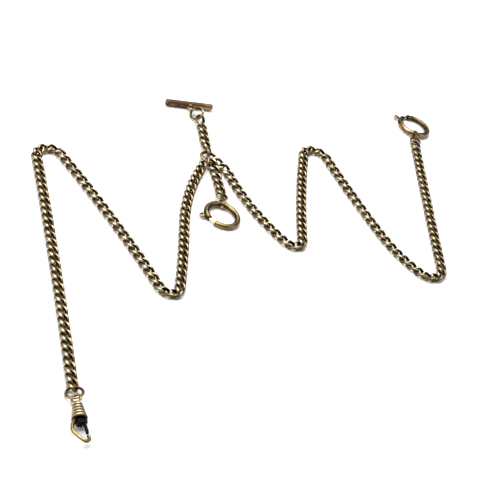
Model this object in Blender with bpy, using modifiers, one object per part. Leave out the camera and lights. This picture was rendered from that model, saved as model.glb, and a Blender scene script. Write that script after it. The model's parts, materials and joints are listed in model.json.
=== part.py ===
"""Pocket watch chain: curb chain with a T bar, a fob ring, a watch ring and a snap hook, laid flat."""

import math

import bmesh
import bpy
from mathutils import Matrix, Vector

MM = 0.001

# Curb chain
LINK_PITCH = 3.9 * MM
LINK_WIRE = 1.0 * MM
LINK_WIDTH = 4.6 * MM
LINK_PLAY = 0.5 * MM
LINK_TWIST = -47.0
LINK_SQUARENESS = 2.4
LINK_POINTS = 10
BAND_NARROWING = 0.8

# Rings that join the chain to its fittings
JUNCTION_RADIUS = 3.1 * MM
JUNCTION_WIRE = 1.2 * MM
T_BAR_RING_RADIUS = 2.7 * MM
RING_JOINT_RADIUS = 2.1 * MM
HOOK_RING_RADIUS = 2.8 * MM
JUMP_WIRE = 0.9 * MM

# T bar
T_BAR_LENGTH = 20.7 * MM
T_BAR_RADIUS = 1.35 * MM
T_BAR_EYE_RADIUS = 1.8 * MM
T_BAR_EYE_WIRE = 0.8 * MM
T_BAR_EYE_TILT = 16.0

# Bolt rings, the sprung rings for the fob and the watch
RING_RADIUS = 6.4 * MM
TUBE_RADIUS = 1.1 * MM
TUBE_WALL = 0.3 * MM
BOLT_GAP = 0.3 * MM
MOUTH_ANGLE = 26.0
MOUTH_FROM_TAIL = 140.0
BOLT_SEAT_ANGLE = 4.0
BOLT_TRAVEL = 32.0
BOLT_TAIL_ANGLE = 40.0
THUMB_FROM_LIP = 16.0
THUMB_HEIGHT = 2.0 * MM
THUMB_RADIUS = 0.45 * MM
SPRING_ANGLE = 60.0
SPRING_TURNS = 6
SPRING_WIRE = 0.2 * MM
TAIL_REACH = 3.2 * MM
TAIL_STRAP = 0.4 * MM
TAIL_WIDTH = 1.0 * MM
TAIL_NOSE_RADIUS = 1.1 * MM

# Snap hook
SLEEVE_LENGTH = 7.2 * MM
SLEEVE_TOP_RADIUS = 1.6 * MM
SLEEVE_END_RADIUS = 2.7 * MM
SLEEVE_WALL = 0.45 * MM
SLEEVE_RIBS = 5
SLEEVE_RIB_DEPTH = 0.25 * MM
STEM_RADIUS = 0.45 * MM
STEM_HEAD_RADIUS = 0.85 * MM
HOOK_EYE_RADIUS = 1.6 * MM
HOOK_EYE_WIRE = 0.9 * MM
BLOCK_LENGTH = 1.9 * MM
BLOCK_HEIGHT = 2.6 * MM
BLOCK_LEFT = -1.0 * MM
BLOCK_RIGHT = 2.2 * MM
NECK_RADIUS = 1.0 * MM
HOOK_WIRE = 1.0 * MM
HOOK_LENGTH = 9.4 * MM
GATE_OFFSET = 1.5 * MM
GATE_LENGTH = 4.4 * MM
GATE_WIDTH = 0.9 * MM
GATE_HEIGHT = 1.1 * MM
GATE_PIN_RADIUS = 0.25 * MM

# Clearances
CLEARANCE = 0.3 * MM
RING_CLEARANCE = 0.3 * MM

# Heights above the surface that the chain lies on
JUNCTION_HEIGHT = 2.1 * MM
HOOK_LINK_HEIGHT = 1.7 * MM
HOOK_RING_HEIGHT = 2.2 * MM
HOOK_HEIGHT = 2.75 * MM
SECOND_RISE = 0.5 * MM

# Turns about the chain's own line, in degrees
LEAD_ROLL = 36.0
SECOND_ROLL = 16.0
T_END_ROLL = 10.0
JUMP_ROLL = 30.0
HOOK_RING_ROLL = 20.0
HOOK_EYE_ROLL = -40.0
T_BAR_RING_ROLL = 56.0

# Layout: each stretch of chain is (kind, links, headings in degrees spread evenly along it)
T_LAYOUT = [("lead", 2, (80,)), ("run", 3, (80, 82)), ("lead", 1, (92,))]
FOB_LAYOUT = [("lead", 1, (-84,)), ("lead", 4, (-94, -98))]
LEFT_LAYOUT = [
    ("lead", 2, (-130, -124)),
    ("run", 20, (-124, -107, -111)),
    ("fold", 2, (-152, -208)),
    ("run", 20, (-257, -250)),
    ("fold", 3, (-202, -129)),
    ("run", 32, (-96, -98)),
]
RIGHT_LAYOUT = [
    ("lead", 2, (-44, -60)),
    ("run", 11, (-84, -72, -60)),
    ("fold", 2, (-18, 36)),
    ("run", 16, (73, 67)),
    ("fold", 3, (33, -48)),
    ("run", 19, (-82, -80, -77, -54)),
    ("fold", 3, (-12, 52)),
    ("run", 22, (76, 75)),
]
T_BAR_RING_HEADING = 108.0
FOB_RING_HEADING = -106.0
WATCH_RING_HEADING = 70.5
HOOK_HEADING = -96.6

# What follows from the sizes above
LINK_HALF_LENGTH = (LINK_PITCH + LINK_WIRE + LINK_PLAY) / 2
LINK_HALF_WIDTH = (LINK_WIDTH - LINK_WIRE) / 2
LINK_OVERHANG = LINK_HALF_LENGTH - LINK_PITCH / 2
BORE_RADIUS = TUBE_RADIUS - TUBE_WALL
BOLT_RADIUS = BORE_RADIUS - BOLT_GAP
RING_TILT = math.asin((TAIL_STRAP + CLEARANCE) / (2 * RING_RADIUS))
UP = Vector((0, 0, 1))
ACROSS = Vector((0, -1, 0))

PARTS = None
CUTTERS = None
MATERIALS = {}


# Scene helpers


def clear_scene():
    for old in list(bpy.data.objects):
        bpy.data.objects.remove(old, do_unlink=True)


def new_collection(name):
    collection = bpy.data.collections.new(name)
    bpy.context.scene.collection.children.link(collection)
    return collection


def material(name, colour, roughness, metallic=1.0):
    made = bpy.data.materials.new(name)
    made.use_nodes = True
    shader = made.node_tree.nodes["Principled BSDF"]
    shader.inputs["Base Color"].default_value = (*colour, 1.0)
    shader.inputs["Roughness"].default_value = roughness
    shader.inputs["Metallic"].default_value = metallic
    MATERIALS[name] = made


def heading(degrees):
    angle = math.radians(degrees)
    return Vector((math.cos(angle), math.sin(angle), 0.0))


def frame(origin, along, roll=0.0):
    """Matrix with X along a direction, turned about it by roll degrees from flat."""
    x = Vector(along).normalized()
    y = UP.cross(x).normalized()
    z = x.cross(y)
    turned = Matrix((x, y, z)).transposed().to_4x4()
    return Matrix.Translation(origin) @ turned @ Matrix.Rotation(math.radians(roll), 4, "X")


def body(name, at, axis, parent):
    """Empty on a joint's axis, its Z along the axis, which carries the pieces that move together."""
    empty = bpy.data.objects.new("body_" + name, None)
    empty.empty_display_size = 2 * MM
    PARTS.objects.link(empty)
    turn = Vector(axis).normalized().to_track_quat("Z", "Y").to_matrix().to_4x4()
    attach(empty, parent, Matrix.Translation(at) @ turn)
    return empty


def attach(piece, parent, matrix):
    piece.parent = parent
    if parent is not None:
        piece.matrix_parent_inverse = parent.matrix_world.inverted()
    piece.matrix_basis = matrix
    bpy.context.view_layer.update()


def finish(piece, parent, matrix, finish_name):
    PARTS.objects.link(piece)
    piece.data.materials.clear()
    piece.data.materials.append(MATERIALS[finish_name])
    attach(piece, parent, matrix)
    return piece


def mesh_object(name, mesh):
    mesh.shade_smooth()
    mesh.set_sharp_from_angle(angle=math.radians(35))
    return bpy.data.objects.new(name, mesh)


def baked(curve_object):
    """Mesh object with a curve object's shape and its caps welded; the curve is removed."""
    holder = bpy.context.scene.collection
    holder.objects.link(curve_object)
    bpy.context.view_layer.update()
    evaluated = curve_object.evaluated_get(bpy.context.evaluated_depsgraph_get())
    mesh = bpy.data.meshes.new_from_object(evaluated)
    shape = bmesh.new()
    shape.from_mesh(mesh)
    bmesh.ops.remove_doubles(shape, verts=shape.verts, dist=0.0005 * MM)
    shape.to_mesh(mesh)
    shape.free()
    name = curve_object.name
    bpy.data.objects.remove(curve_object, do_unlink=True)
    return mesh_object(name, mesh)


def combine(piece, other, operation):
    """Boolean of a piece with a hidden cutter, both placed in the piece's own space."""
    CUTTERS.objects.link(other)
    other.parent = piece
    other.hide_render = True
    other.display_type = "WIRE"
    modifier = piece.modifiers.new(operation.title(), "BOOLEAN")
    modifier.operation = operation
    modifier.solver = "EXACT"
    modifier.object = other


# Basic shapes


def wire(name, points, diameter, closed=False, sides_step=1):
    """Round wire through points, as a curve object."""
    curve = bpy.data.curves.new(name, "CURVE")
    curve.dimensions = "3D"
    curve.bevel_depth = diameter / 2
    curve.bevel_resolution = sides_step
    curve.use_fill_caps = not closed
    spline = curve.splines.new("POLY")
    spline.points.add(len(points) - 1)
    for point, place in zip(spline.points, points):
        point.co = (*place, 1.0)
    spline.use_cyclic_u = closed
    return bpy.data.objects.new(name, curve)


def arc(radius, start, end, count):
    """Points along an arc about Z, in degrees."""
    turns = [math.radians(start + (end - start) * i / (count - 1)) for i in range(count)]
    return [Vector((radius * math.cos(t), radius * math.sin(t), 0)) for t in turns]


def wire_ring(name, radius, diameter, points=14):
    return wire(name, arc(radius, 0, 360 - 360 / points, points), diameter, closed=True)


def cylinder(name, radius, length, sides=12):
    """Cylinder along Z about the origin."""
    shape = bmesh.new()
    bmesh.ops.create_cone(
        shape, cap_ends=True, segments=sides, radius1=radius, radius2=radius, depth=length
    )
    mesh = bpy.data.meshes.new(name)
    shape.to_mesh(mesh)
    shape.free()
    return mesh_object(name, mesh)


def box(name, low, high):
    """Box between two corners."""
    low, high = Vector(low), Vector(high)
    shape = bmesh.new()
    bmesh.ops.create_cube(shape, size=1.0)
    bmesh.ops.scale(shape, vec=high - low, verts=shape.verts)
    bmesh.ops.translate(shape, vec=(low + high) / 2, verts=shape.verts)
    mesh = bpy.data.meshes.new(name)
    shape.to_mesh(mesh)
    shape.free()
    return mesh_object(name, mesh)


def outline(name, points, thickness):
    """Flat outline in the XY plane with a thickness along Z."""
    curve = bpy.data.curves.new(name, "CURVE")
    curve.dimensions = "2D"
    curve.fill_mode = "BOTH"
    curve.extrude = thickness / 2
    for loop in points:
        spline = curve.splines.new("POLY")
        spline.points.add(len(loop) - 1)
        for point, place in zip(spline.points, loop):
            point.co = (place[0], place[1], 0.0, 1.0)
        spline.use_cyclic_u = True
    return baked(bpy.data.objects.new(name, curve))


def turned(name, profile, steps=14):
    """Closed profile of (radius, height) points turned about Z."""
    shape = bmesh.new()
    corners = [shape.verts.new((radius, 0, height)) for radius, height in profile]
    for first, second in zip(corners, corners[1:] + corners[:1]):
        shape.edges.new((first, second))
    mesh = bpy.data.meshes.new(name)
    shape.to_mesh(mesh)
    shape.free()
    piece = bpy.data.objects.new(name, mesh)
    screw = piece.modifiers.new("Turn", "SCREW")
    screw.steps = steps
    screw.render_steps = steps
    screw.use_merge_vertices = True
    screw.merge_threshold = 0.01 * MM
    screw.use_smooth_shade = True
    return piece


# Chain


def link_points():
    """Centreline of one curb link, an oval along X twisted about its length."""
    points = []
    for i in range(LINK_POINTS):
        turn = 2 * math.pi * (i + 0.5) / LINK_POINTS
        along, across = math.cos(turn), math.sin(turn)
        power = 2 / LINK_SQUARENESS
        x = LINK_HALF_LENGTH * math.copysign(abs(along) ** power, along)
        y = LINK_HALF_WIDTH * math.copysign(abs(across) ** power, across)
        twist = math.radians(LINK_TWIST) * x / LINK_HALF_LENGTH
        points.append(Vector((x, y * math.cos(twist), y * math.sin(twist))))
    return points


def link_height():
    return max(abs(point.z) for point in link_points()) + LINK_WIRE / 2


def walk(start, layout):
    """Places where the links meet, one link pitch apart, along a layout."""
    places = [Vector(start)]
    for _, links, headings in layout:
        for i in range(links):
            share = i / max(links - 1, 1) * (len(headings) - 1)
            before = min(int(share), max(len(headings) - 2, 0))
            after = min(before + 1, len(headings) - 1)
            turn = headings[before] + (headings[after] - headings[before]) * (share - before)
            places.append(places[-1] + heading(turn) * LINK_PITCH)
    return places


def lift_axis(direction):
    """Level axis about which a forward turn lifts what points along a direction."""
    return direction.cross(UP).normalized()


def straightening_axis(before, after):
    """Upright axis about which a forward turn takes the second direction towards the first."""
    return -UP if before.cross(after).z > 0 else UP


def single_link(name, link_curve, start, end, roll, parent):
    piece = bpy.data.objects.new(name, link_curve)
    place = frame((start + end) / 2, end - start, roll)
    return finish(piece, parent, place, "chain_bronze")


def band_profile():
    """Outline across a run, as wide and high as the links."""
    curve = bpy.data.curves.new("band_profile", "CURVE")
    curve.dimensions = "2D"
    spline = curve.splines.new("POLY")
    spline.points.add(5)
    for i, point in enumerate(spline.points):
        turn = math.radians(-60 * i)
        across = LINK_WIDTH / 2 * math.cos(turn)
        point.co = (across, link_height() * math.sin(turn), 0.0, 1.0)
    spline.use_cyclic_u = True
    profile = bpy.data.objects.new("band_profile", curve)
    CUTTERS.objects.link(profile)
    profile.hide_render = True
    profile.display_type = "WIRE"
    return profile


def run_of_links(name, places, profile, link_curve, parent):
    """Long stretch whose links hold their line: a scalloped band, with a whole link at each end."""
    origin = (places[0] + places[-1]) / 2
    curve = bpy.data.curves.new(name, "CURVE")
    curve.dimensions = "3D"
    curve.twist_mode = "Z_UP"
    curve.bevel_mode = "OBJECT"
    curve.bevel_object = profile
    curve.use_fill_caps = True
    middles = [(a + b) / 2 for a, b in zip(places, places[1:])]
    route = []
    for middle, meeting in zip(middles, places[1:]):
        route.append((middle, 1.0))
        route.append((meeting, BAND_NARROWING))
    route.pop()
    spline = curve.splines.new("POLY")
    spline.points.add(len(route) - 1)
    for point, (place, share) in zip(spline.points, route):
        point.co = (*(place - origin), 1.0)
        point.radius = share
    piece = baked(bpy.data.objects.new(name, curve))
    finish(piece, parent, Matrix.Translation(origin), "chain_bronze")
    for a, b in ((places[0], places[1]), (places[-2], places[-1])):
        end_link = baked(bpy.data.objects.new(name + "_end", link_curve))
        end_link.matrix_basis = Matrix.Translation(-origin) @ frame((a + b) / 2, b - a)
        combine(piece, end_link, "UNION")
    return piece


def chain_branch(name, start, layout, rolls, parent, end_height):
    """Links and runs of one branch; returns its last body and its last place."""
    places = walk(start, layout)
    for place in places[1:]:
        place.z = link_height()
    places[1].z += SECOND_RISE
    places[-1].z = end_height
    index = 0
    single = 0
    run = 0
    for kind, links, _ in layout:
        pieces = 1 if kind == "run" else links
        for _ in range(pieces):
            begin, end = places[index], places[index + 1]
            if kind == "run":
                run += 1
                label = name + "_run_" + str(run)
            else:
                single += 1
                label = name + "_link_" + str(single)
            if index == 0:
                hold = begin + heading(layout[0][2][0]) * JUNCTION_HOLD
                parent = body(label, hold, lift_axis(end - begin), parent)
            elif kind == "lead" and single % 2 == 1:
                parent = body(label, begin, lift_axis(end - begin), parent)
            else:
                axis = straightening_axis(begin - places[index - 1], end - begin)
                parent = body(label, begin, axis, parent)
            if kind == "run":
                run_of_links(label, places[index : index + links + 1], BAND_PROFILE, LINK_CURVE, parent)
                index += links
            else:
                single_link(label, LINK_CURVE, begin, end, rolls.get(single, 0.0), parent)
                index += 1
    return parent, places[-1]


def standing_height(radius, roll):
    """Height of a jump ring's centre when it leans on its lowest edge."""
    return radius * math.sin(math.radians(abs(roll))) + JUMP_WIRE / 2


def jump_ring(name, radius, start, toward, roll, parent):
    """Round ring hooked on the last link of a branch; returns its body, its frame and its far side."""
    hold = (JUMP_WIRE + LINK_WIRE) / 2 + RING_CLEARANCE - LINK_OVERHANG
    direction = toward.normalized()
    centre = start + direction * (radius - hold)
    place = frame(centre, direction, roll)
    hinge = body(name, start + direction * LINK_OVERHANG, lift_axis(direction), parent)
    finish(wire_ring(name, radius, JUMP_WIRE), hinge, place, "chain_bronze")
    return hinge, place, centre + direction * radius


# T bar


def t_bar(start, parent):
    """Jump ring, soldered eye and bar at the end of the short drop."""
    ring_body, ring_frame, far = jump_ring(
        "t_bar_jump_ring", T_BAR_RING_RADIUS, start, heading(T_BAR_RING_HEADING), T_BAR_RING_ROLL, parent
    )
    hold = (JUMP_WIRE + T_BAR_EYE_WIRE) / 2 + RING_CLEARANCE
    eye_from_ring = heading(T_BAR_RING_HEADING) * (T_BAR_EYE_RADIUS - hold)
    eye_centre = far + eye_from_ring
    hinge = body("t_bar", far, ring_frame.to_3x3() @ ACROSS, ring_body)
    tilt = Matrix.Rotation(math.radians(-T_BAR_EYE_TILT), 4, "X")
    eye = wire_ring("t_bar_eye", T_BAR_EYE_RADIUS, T_BAR_EYE_WIRE)
    finish(eye, hinge, Matrix.Translation(eye_centre) @ tilt, "bar_brown")
    reach = T_BAR_EYE_RADIUS + T_BAR_EYE_WIRE / 2 + CLEARANCE / 2 + T_BAR_RADIUS
    bar_centre = eye_centre + tilt.to_3x3() @ Vector((0, reach, 0))
    bar = cylinder("t_bar", T_BAR_RADIUS, T_BAR_LENGTH)
    along = Matrix.Rotation(math.radians(90), 4, "Y")
    finish(bar, hinge, Matrix.Translation(bar_centre) @ along, "bar_brown")


# Bolt rings


def teardrop(near_radius, nose_radius, distance, corners):
    """Outline round two circles: the tube's, and the nose's further out along X."""
    meet = math.degrees(math.acos((near_radius - nose_radius) / distance))
    near = arc(near_radius, meet, 360 - meet, corners)
    nose = arc(nose_radius, -meet, meet, corners // 2)
    return near + [point + Vector((distance, 0, 0)) for point in nose]


def ring_tail(name):
    """Strap folded round the tube, with an eye left beyond it, in the plane through the ring's axis."""
    inside = TUBE_RADIUS + CLEARANCE
    inner = teardrop(inside, TAIL_NOSE_RADIUS - TAIL_STRAP / 2, TAIL_REACH, 10)
    outer = teardrop(inside + TAIL_STRAP, TAIL_NOSE_RADIUS + TAIL_STRAP / 2, TAIL_REACH, 10)
    return outline(name, [outer, inner], TAIL_WIDTH)


def sector(name, low, high, start, end, thickness):
    """Part of a flat ring between two radii."""
    points = arc(high, start, end, 6) + arc(low, end, start, 6)
    return outline(name, [points], thickness)


def coil_in_arc(name, start, end):
    """Compression spring bent along the ring."""
    radius = BORE_RADIUS - BOLT_GAP / 2 - SPRING_WIRE / 2
    count = SPRING_TURNS * 6
    points = []
    for i in range(count + 1):
        turn = math.radians(start + (end - start) * i / count)
        phase = math.radians(60 * i)
        out = RING_RADIUS + radius * math.cos(phase)
        points.append(Vector((out * math.cos(turn), out * math.sin(turn), radius * math.sin(phase))))
    return wire(name, points, SPRING_WIRE, sides_step=0)


def tail_eye_height():
    """Height of a bolt ring's eye when the ring leans on its strap and on the far side of its tube."""
    centre = TUBE_RADIUS + (TAIL_STRAP + CLEARANCE) / 2
    return centre + (RING_RADIUS + TAIL_REACH) * math.sin(RING_TILT)


def bolt_ring(name, far, toward, flipped, eye_body, eye_frame):
    """Sprung bolt ring hung by its tail; its own X runs from its centre to the tail."""
    back = -toward
    distance = RING_RADIUS + TAIL_REACH
    centre = far + toward * (distance * math.cos(RING_TILT))
    centre.z = TUBE_RADIUS + (TAIL_STRAP + CLEARANCE) / 2
    place = frame(centre, back) @ Matrix.Rotation(-RING_TILT, 4, "Y")
    if flipped:
        place = place @ Matrix.Rotation(math.radians(180), 4, "X")
    hinge = body(name, far, eye_frame.to_3x3() @ ACROSS, eye_body)

    lip = -MOUTH_FROM_TAIL + MOUTH_ANGLE / 2
    receiver = -MOUTH_FROM_TAIL - MOUTH_ANGLE / 2
    bolt_end = lip + BOLT_TAIL_ANGLE
    spring_start = bolt_end + 3
    spring_end = spring_start + SPRING_ANGLE
    thumb = lip + THUMB_FROM_LIP
    slot_margin = math.degrees((THUMB_RADIUS + CLEARANCE) / RING_RADIUS)

    case = baked(wire(name + "_case", arc(RING_RADIUS, lip, receiver + 360, 30), 2 * TUBE_RADIUS, sides_step=3))
    finish(case, hinge, place, "polished_bronze")
    bore_points = arc(RING_RADIUS, receiver - BOLT_SEAT_ANGLE - 3, spring_end + 3, 16)
    combine(case, baked(wire(name + "_bore", bore_points, 2 * BORE_RADIUS, sides_step=2)), "DIFFERENCE")
    slot_start, slot_end = thumb - slot_margin, thumb + BOLT_TRAVEL + slot_margin
    slot_height = 2 * THUMB_RADIUS + CLEARANCE
    outside = RING_RADIUS + 2 * TUBE_RADIUS
    inner = RING_RADIUS + BOLT_RADIUS / 2
    combine(case, sector(name + "_slot", inner, outside, slot_start, slot_end, slot_height), "DIFFERENCE")

    tail_place = place @ Matrix.Translation((RING_RADIUS, 0, 0)) @ Matrix.Rotation(math.radians(90), 4, "X")
    finish(ring_tail(name + "_tail"), hinge, tail_place, "polished_bronze")
    coil = coil_in_arc(name + "_spring", spring_start, spring_end)
    finish(coil, hinge, place, "spring_steel")

    slide = body(name + "_bolt", centre, place.to_3x3() @ UP, hinge)
    bolt_points = arc(RING_RADIUS, receiver - BOLT_SEAT_ANGLE, bolt_end, 14)
    bolt = wire(name + "_bolt", bolt_points, 2 * BOLT_RADIUS, sides_step=2)
    finish(bolt, slide, place, "polished_bronze")
    tab_radius = THUMB_HEIGHT / 2
    root = BOLT_RADIUS + RING_CLEARANCE
    tab_centre = TUBE_RADIUS + CLEARANCE + tab_radius
    tab = cylinder(name + "_thumb_tab", tab_radius, 2 * THUMB_RADIUS)
    turned_out = Matrix.Rotation(math.radians(thumb), 4, "Z")
    tab_place = place @ turned_out @ Matrix.Translation((RING_RADIUS + tab_centre, 0, 0))
    finish(tab, slide, tab_place, "polished_bronze")
    shank = cylinder(name + "_shank", THUMB_RADIUS * 0.8, tab_centre - root, sides=8)
    shank.matrix_basis = Matrix.Translation((-(tab_centre - root) / 2, 0, 0)) @ Matrix.Rotation(
        math.radians(90), 4, "Y"
    )
    combine(tab, shank, "UNION")


# Snap hook


def sleeve_profile():
    """Ribbed cone with a small hole in its top and a cavity open at its end; heights run down from 0."""
    outside = []
    halves = 2 * SLEEVE_RIBS
    for i in range(halves + 1):
        share = i / halves
        radius = SLEEVE_TOP_RADIUS + (SLEEVE_END_RADIUS - SLEEVE_TOP_RADIUS) * share
        if i % 2 == 0 and 0 < i < halves:
            radius -= SLEEVE_RIB_DEPTH
        outside.append((radius, -SLEEVE_LENGTH * share))
    roof = -0.8 * MM
    hole = STEM_RADIUS + CLEARANCE
    inside = [
        (SLEEVE_END_RADIUS - SLEEVE_WALL, -SLEEVE_LENGTH),
        (STEM_HEAD_RADIUS + CLEARANCE, roof),
        (hole, roof),
        (hole, 0),
    ]
    return outside + inside


def snap_hook(start, parent):
    """Jump ring, swivel eye, ribbed sleeve, block, hook wire and sprung gate."""
    toward = heading(HOOK_HEADING)
    rise = (HOOK_RING_HEIGHT - start.z) / (HOOK_RING_RADIUS - RING_CLEARANCE)
    ring_toward = Vector((toward.x, toward.y, rise))
    ring_body, ring_frame, far = jump_ring(
        "hook_jump_ring", HOOK_RING_RADIUS, start, ring_toward, HOOK_RING_ROLL, parent
    )
    hold = (JUMP_WIRE + HOOK_EYE_WIRE) / 2 + RING_CLEARANCE
    eye_centre = far + toward * (HOOK_EYE_RADIUS - hold)
    eye_centre.z = HOOK_HEIGHT
    top = HOOK_EYE_RADIUS + HOOK_EYE_WIRE / 2 + CLEARANCE
    place = frame(eye_centre + toward * top, toward)
    eye_body = body("hook_eye", far, ring_frame.to_3x3() @ ACROSS, ring_body)

    eye = baked(wire_ring("hook_eye", HOOK_EYE_RADIUS, HOOK_EYE_WIRE))
    finish(eye, eye_body, frame(eye_centre, toward, HOOK_EYE_ROLL), "polished_bronze")
    upright = Matrix.Rotation(math.radians(90), 4, "Y")
    stem_start, head_start, head_end = HOOK_EYE_RADIUS, top + 1.2 * MM, top + 1.8 * MM
    for label, radius, low, high in (
        ("hook_stem", STEM_RADIUS, stem_start, head_end - 0.1 * MM),
        ("hook_stem_head", STEM_HEAD_RADIUS, head_start, head_end),
    ):
        rod = cylinder(label, radius, high - low)
        rod.matrix_basis = Matrix.Translation(((low + high) / 2, 0, 0)) @ upright
        combine(eye, rod, "UNION")

    swivel = body("hook_swivel", place.translation, toward, eye_body)
    sleeve = turned("hook_sleeve", sleeve_profile())
    down = place @ Matrix.Rotation(math.radians(-90), 4, "Y")
    finish(sleeve, swivel, down, "polished_bronze")

    block_start = SLEEVE_LENGTH + CLEARANCE
    block_end = block_start + BLOCK_LENGTH
    half = BLOCK_HEIGHT / 2
    block = box("hook_block", (block_start, BLOCK_LEFT, -half), (block_end, BLOCK_RIGHT, half))
    finish(block, swivel, place, "black_block")
    neck_centre = BLOCK_LEFT + NECK_RADIUS + 0.4 * MM
    neck = cylinder("hook_neck", NECK_RADIUS, 2.4 * MM)
    neck.matrix_basis = Matrix.Translation((block_start - MM, neck_centre, 0)) @ upright
    combine(block, neck, "UNION")
    slot_half = GATE_HEIGHT / 2 + 0.25 * MM
    gate_slot = box(
        "gate_slot",
        (block_start - 0.1 * MM, GATE_OFFSET - GATE_WIDTH / 2 - 1.2 * MM, -slot_half),
        (block_end + MM, BLOCK_RIGHT + MM, slot_half),
    )
    combine(block, gate_slot, "DIFFERENCE")
    pin_at = Vector((block_start + BLOCK_LENGTH * 0.55, GATE_OFFSET, 0))
    pin_hole = cylinder("pin_hole", GATE_PIN_RADIUS + 0.1 * MM, 2 * BLOCK_HEIGHT, sides=8)
    pin_hole.matrix_basis = Matrix.Translation(pin_at)
    combine(block, pin_hole, "DIFFERENCE")
    pin = cylinder("gate_pin", GATE_PIN_RADIUS, BLOCK_HEIGHT, sides=8)
    finish(pin, swivel, place @ Matrix.Translation(pin_at), "polished_bronze")

    gate_tip = pin_at.x + GATE_LENGTH
    nose = block_end + HOOK_LENGTH - 2.0 * MM
    bend = [
        (SLEEVE_LENGTH - 1.2 * MM, -1.45 * MM),
        (SLEEVE_LENGTH + 0.3 * MM, -1.75 * MM),
        (block_end - 0.2 * MM, -2.9 * MM),
        (block_end + 1.8 * MM, -3.4 * MM),
        (block_end + 4.0 * MM, -3.5 * MM),
        (block_end + 5.3 * MM, -3.0 * MM),
        (nose - 0.6 * MM, -1.4 * MM),
        (nose, 0.0),
        (nose - 0.1 * MM, 1.2 * MM),
        (nose - 0.9 * MM, 1.95 * MM),
        (gate_tip + HOOK_WIRE / 2 + CLEARANCE, GATE_OFFSET + 0.3 * MM),
    ]
    hook = wire("hook_wire", [Vector((x, y, 0)) for x, y in bend], HOOK_WIRE, sides_step=2)
    finish(hook, swivel, place, "polished_bronze")

    gate_body = body("hook_gate", place @ pin_at, -(place.to_3x3() @ UP), swivel)
    gate_half = GATE_HEIGHT / 2
    gate = box(
        "hook_gate",
        (-0.6 * MM, -GATE_WIDTH / 2, -gate_half),
        (GATE_LENGTH, GATE_WIDTH / 2, gate_half),
    )
    finish(gate, gate_body, place @ Matrix.Translation(pin_at), "black_block")
    bearing = cylinder("gate_bearing", GATE_PIN_RADIUS + 0.05 * MM, 2 * BLOCK_HEIGHT, sides=8)
    combine(gate, bearing, "DIFFERENCE")
    inner_face = GATE_OFFSET - GATE_WIDTH / 2
    leaf = [
        (block_start + 0.3 * MM, inner_face - 0.9 * MM),
        (block_start + 1.0 * MM, inner_face - 0.8 * MM),
        (block_end + 0.3 * MM, inner_face - 0.5 * MM),
        (block_end + 1.0 * MM, inner_face - 0.3 * MM),
    ]
    spring = wire("gate_spring", [Vector((x, y, 0)) for x, y in leaf], 0.3 * MM, sides_step=1)
    finish(spring, swivel, place, "spring_steel")


def stand_on_floor(root):
    """Moves the whole chain so that the origin is under the middle of its box, on the surface."""
    bpy.context.view_layer.update()
    graph = bpy.context.evaluated_depsgraph_get()
    corners = []
    for piece in PARTS.objects:
        if piece.type == "EMPTY":
            continue
        evaluated = piece.evaluated_get(graph)
        mesh = evaluated.to_mesh()
        corners += [evaluated.matrix_world @ vertex.co for vertex in mesh.vertices]
        evaluated.to_mesh_clear()
    low = [min(corner[i] for corner in corners) for i in range(3)]
    high = [max(corner[i] for corner in corners) for i in range(3)]
    root.location -= Vector(((low[0] + high[0]) / 2, (low[1] + high[1]) / 2, low[2]))
    bpy.context.view_layer.update()


JUNCTION_HOLD = (JUNCTION_WIRE + LINK_WIRE) / 2 + RING_CLEARANCE - LINK_OVERHANG


def main():
    global PARTS, CUTTERS, LINK_CURVE, BAND_PROFILE
    clear_scene()
    PARTS = new_collection("pocket_watch_chain")
    CUTTERS = new_collection("cutters")
    material("chain_bronze", (0.42, 0.33, 0.17), 0.35)
    material("polished_bronze", (0.5, 0.4, 0.2), 0.25)
    material("bar_brown", (0.3, 0.2, 0.12), 0.4)
    material("spring_steel", (0.45, 0.45, 0.45), 0.35)
    material("black_block", (0.02, 0.02, 0.02), 0.5, 0.5)
    LINK_CURVE = wire("curb_link", link_points(), LINK_WIRE, closed=True).data
    BAND_PROFILE = band_profile()

    root = body("junction", (0, 0, JUNCTION_HEIGHT), UP, None)
    ring = wire_ring("junction_ring", JUNCTION_RADIUS, JUNCTION_WIRE, points=18)
    finish(ring, root, Matrix.Translation((0, 0, JUNCTION_HEIGHT)), "chain_bronze")

    def first_place(layout):
        reach = JUNCTION_RADIUS - JUNCTION_HOLD
        return heading(layout[0][2][0]) * reach + Vector((0, 0, JUNCTION_HEIGHT))

    leads = {1: LEAD_ROLL, 2: SECOND_ROLL}
    jump_height = standing_height(RING_JOINT_RADIUS, JUMP_ROLL)
    t_ring_height = standing_height(T_BAR_RING_RADIUS, T_BAR_RING_ROLL)

    end, place = chain_branch(
        "t", first_place(T_LAYOUT), T_LAYOUT, {**leads, 3: T_END_ROLL}, root, t_ring_height
    )
    t_bar(place, end)

    for name, layout, turn, flipped, fitting in (
        ("fob", FOB_LAYOUT, FOB_RING_HEADING, True, "fob_ring"),
        ("right", RIGHT_LAYOUT, WATCH_RING_HEADING, False, "watch_ring"),
    ):
        end, place = chain_branch(name, first_place(layout), layout, leads, root, jump_height)
        rise = (tail_eye_height() - jump_height) / (2 * RING_JOINT_RADIUS)
        jump, ring_frame, far = jump_ring(
            fitting + "_jump_ring", RING_JOINT_RADIUS, place, heading(turn) + UP * rise, JUMP_ROLL, end
        )
        bolt_ring(fitting, far, heading(turn), flipped, jump, ring_frame)

    end, place = chain_branch(
        "left", first_place(LEFT_LAYOUT), LEFT_LAYOUT, leads, root, HOOK_LINK_HEIGHT
    )
    snap_hook(place, end)
    stand_on_floor(root)


main()
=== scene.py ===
"""Pocket watch chain: the finished look of a curb chain with its T bar, bolt rings and snap hook."""

import json
import math

import bmesh
import bpy
from bpy.props import FloatProperty, FloatVectorProperty, IntProperty, PointerProperty
from mathutils import Matrix, Vector, noise


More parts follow.
